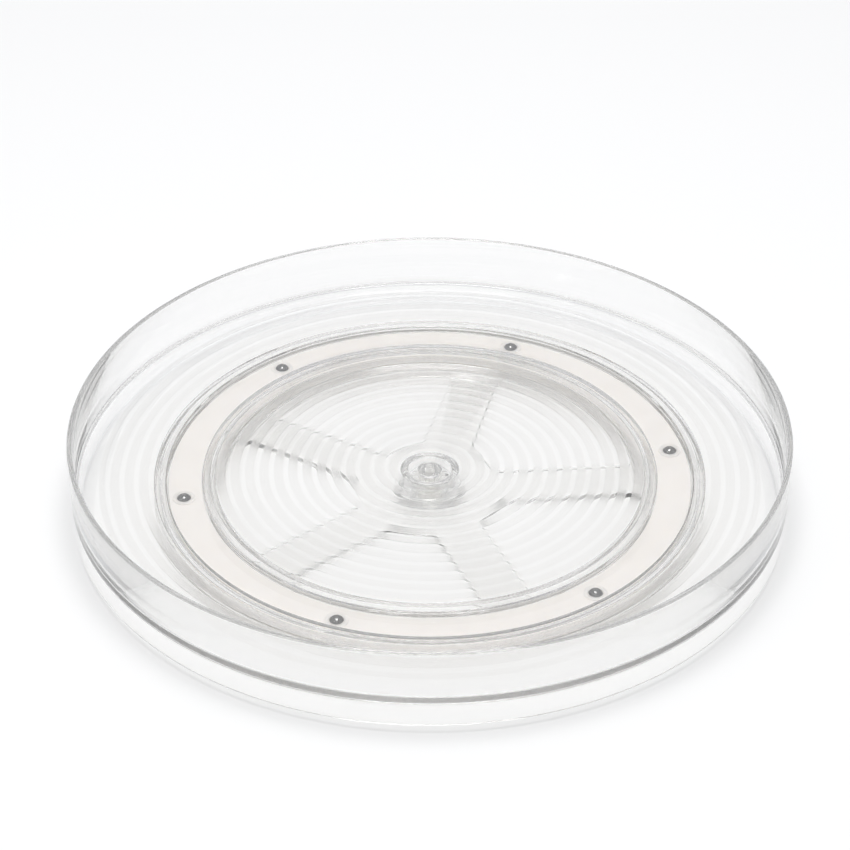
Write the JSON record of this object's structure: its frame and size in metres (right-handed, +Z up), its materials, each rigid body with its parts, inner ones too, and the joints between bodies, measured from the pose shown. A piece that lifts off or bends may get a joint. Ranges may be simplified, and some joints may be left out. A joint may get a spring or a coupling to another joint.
{
  "type": "lazy susan turntable",
  "caption": "Clear round walled tray that spins on steel balls in a flat cage over a spoked base, for reaching jars and bottles in a cupboard.",
  "frame": {"origin": "on the table under the hub: the centre of the base's round feet, z = 0", "axes": "+Z up along the hub's axis; the part is round, so +X is only a reference direction and the first ball lies 9.4 degrees from it"},
  "size_m": [0.28, 0.28, 0.036],
  "materials": {
    "clear_shell": "clear polished, frosted bands on the deck",
    "clear_base": "clear polished",
    "clear_pin": "clear polished",
    "cage_plastic": "natural milky, satin",
    "steel_ball": "ground and polished"
  },
  "bodies": {
    "base": {"base": "clear_base"},
    "tray": {"tray": "clear_shell", "pivot_pin": "clear_pin"},
    "cage": {"ball_cage": "cage_plastic"},
    "ball_1": {"ball_1": "steel_ball"},
    "ball_2": {"ball_2": "steel_ball"},
    "ball_3": {"ball_3": "steel_ball"},
    "ball_4": {"ball_4": "steel_ball"},
    "ball_5": {"ball_5": "steel_ball"},
    "ball_6": {"ball_6": "steel_ball"}
  },
  "joints": [
    {"name": "tray_spin", "type": "hinge", "parent": "base", "child": "tray", "pos_m": [0, 0, 0.0087], "axis": [0, 0, 1], "continuous": true},
    {"name": "cage_orbit", "type": "hinge", "parent": "base", "child": "cage", "pos_m": [0, 0, 0.0076], "axis": [0, 0, 1], "continuous": true},
    {"name": "ball_1_roll", "type": "hinge", "parent": "cage", "child": "ball_1", "pos_m": [0.0954, 0.01579, 0.00762], "axis": [0.9866, 0.1633, 0], "continuous": true},
    {"name": "ball_2_roll", "type": "hinge", "parent": "cage", "child": "ball_2", "pos_m": [0.03402, 0.09052, 0.00762], "axis": [0.3518, 0.9361, 0], "continuous": true},
    {"name": "ball_3_roll", "type": "hinge", "parent": "cage", "child": "ball_3", "pos_m": [-0.06138, 0.07472, 0.00762], "axis": [-0.6347, 0.7727, 0], "continuous": true},
    {"name": "ball_4_roll", "type": "hinge", "parent": "cage", "child": "ball_4", "pos_m": [-0.0954, -0.01579, 0.00762], "axis": [-0.9866, -0.1633, 0], "continuous": true},
    {"name": "ball_5_roll", "type": "hinge", "parent": "cage", "child": "ball_5", "pos_m": [-0.03402, -0.09052, 0.00762], "axis": [-0.3518, -0.9361, 0], "continuous": true},
    {"name": "ball_6_roll", "type": "hinge", "parent": "cage", "child": "ball_6", "pos_m": [0.06138, -0.07472, 0.00762], "axis": [0.6347, -0.7727, 0], "continuous": true}
  ],
  "couplings": [
    {"joint": "cage_orbit", "follows": "tray_spin", "ratio": 0.5},
    {"joint": "ball_1_roll", "follows": "tray_spin", "ratio": -16.117},
    {"joint": "ball_2_roll", "follows": "tray_spin", "ratio": -16.117},
    {"joint": "ball_3_roll", "follows": "tray_spin", "ratio": -16.117},
    {"joint": "ball_4_roll", "follows": "tray_spin", "ratio": -16.117},
    {"joint": "ball_5_roll", "follows": "tray_spin", "ratio": -16.117},
    {"joint": "ball_6_roll", "follows": "tray_spin", "ratio": -16.117}
  ]
}
